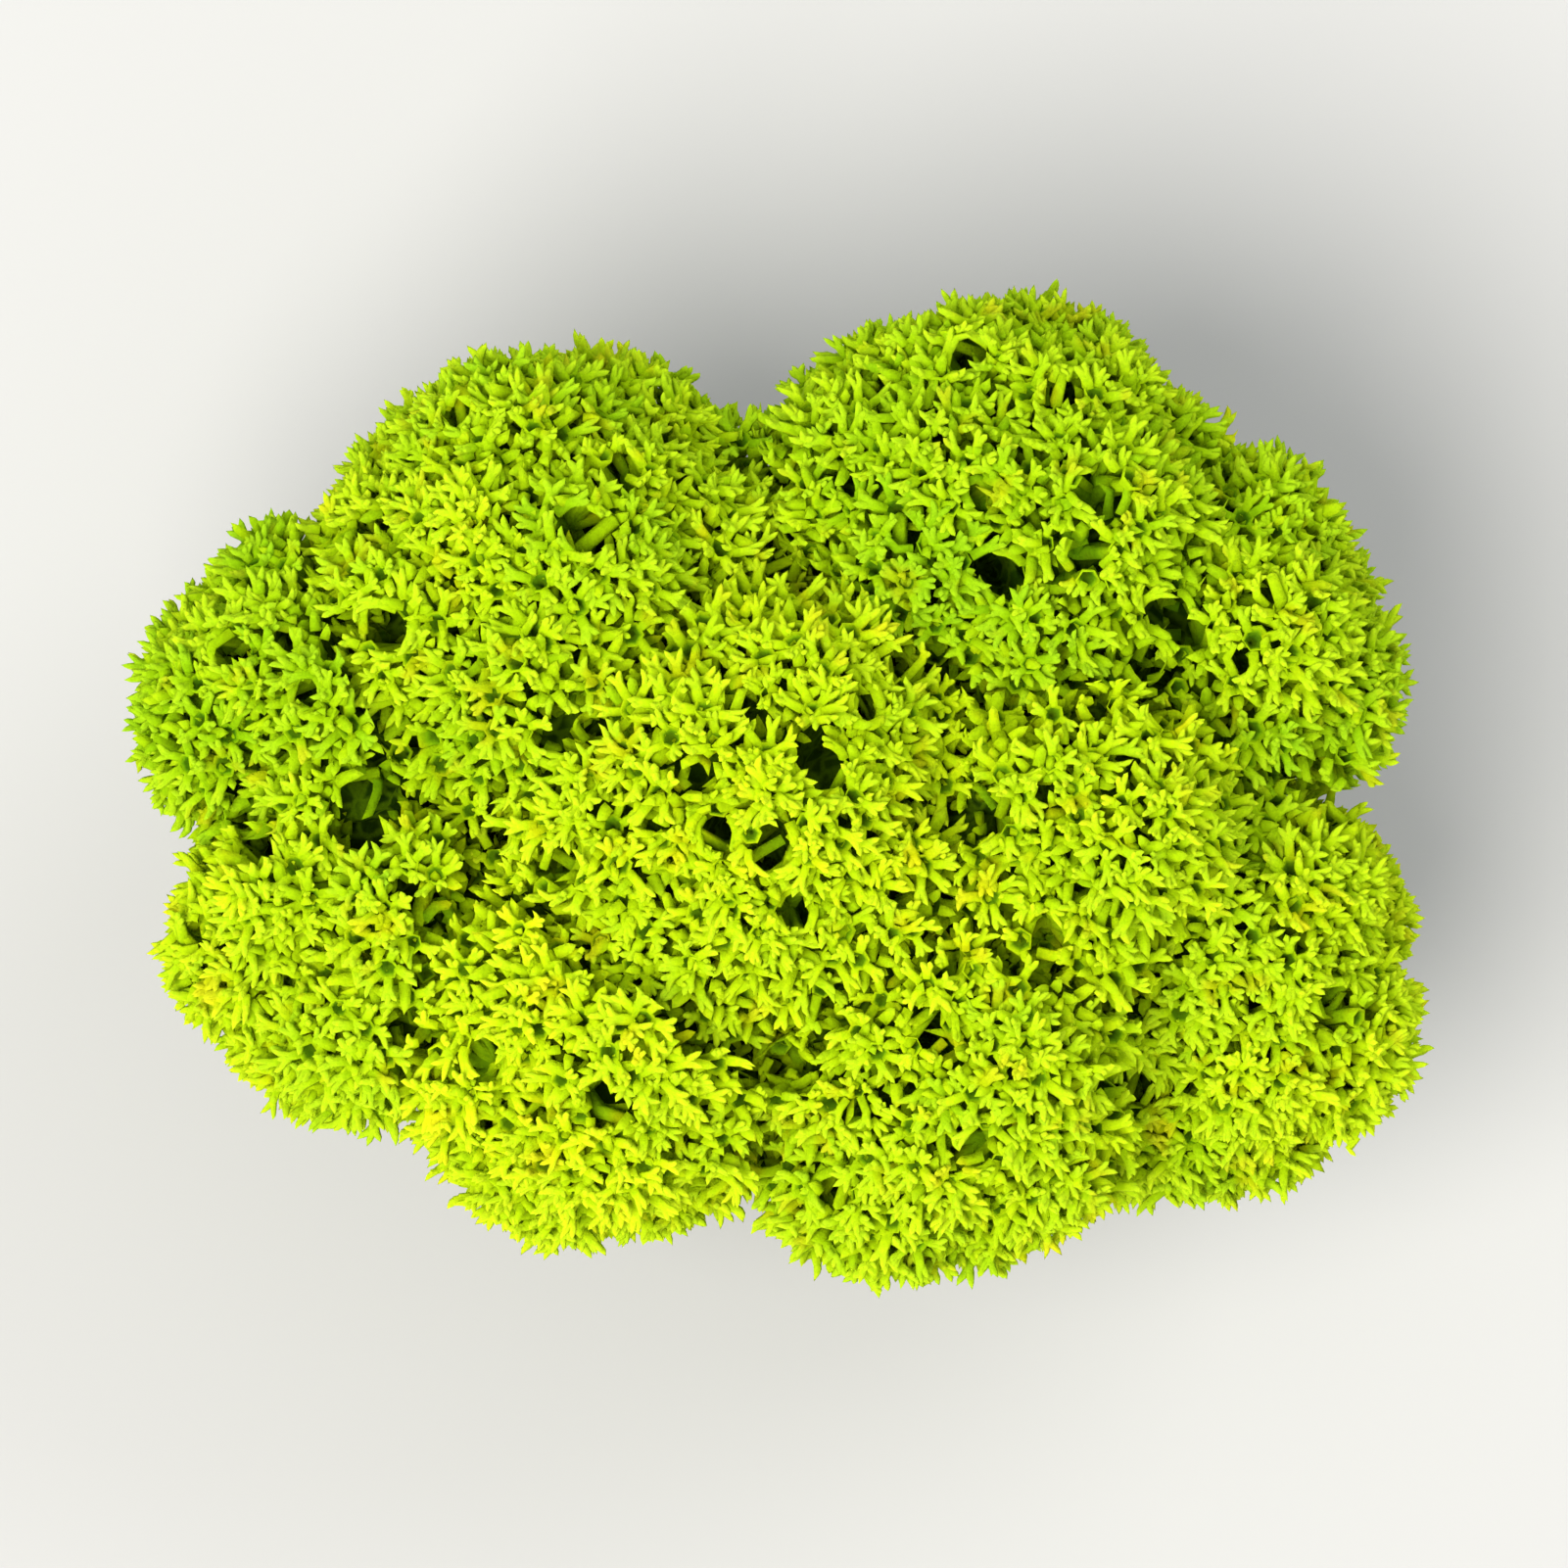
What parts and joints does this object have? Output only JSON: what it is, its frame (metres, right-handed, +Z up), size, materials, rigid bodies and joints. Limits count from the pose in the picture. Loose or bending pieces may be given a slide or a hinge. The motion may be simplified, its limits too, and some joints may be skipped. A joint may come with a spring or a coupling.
{
  "type": "preserved moss clump",
  "caption": "Cushion of dyed, preserved reindeer lichen: domed tufts of fine forked star-shaped tips packed side by side, standing on their cut stems.",
  "frame": {"origin": "middle of the clump's outline on the surface that its cut stems stand on", "axes": "+X along the clump's longest side, +Y across it towards the back tufts, +Z up out of the crown"},
  "size_m": [0.0474, 0.037, 0.0338],
  "materials": {
    "dyed_lichen": "matt, felt-like lime green lichen, dyed and softened with glycerine, darker green between the tufts"
  },
  "bodies": {
    "root": {"tuft_middle": "dyed_lichen", "tuft_middle_right": "dyed_lichen", "tuft_back_left": "dyed_lichen", "tuft_back_right": "dyed_lichen", "tuft_right": "dyed_lichen", "tuft_front_right": "dyed_lichen", "tuft_front_middle": "dyed_lichen", "tuft_front_left": "dyed_lichen", "tuft_left_front": "dyed_lichen", "tuft_left_back": "dyed_lichen"}
  },
  "joints": []
}
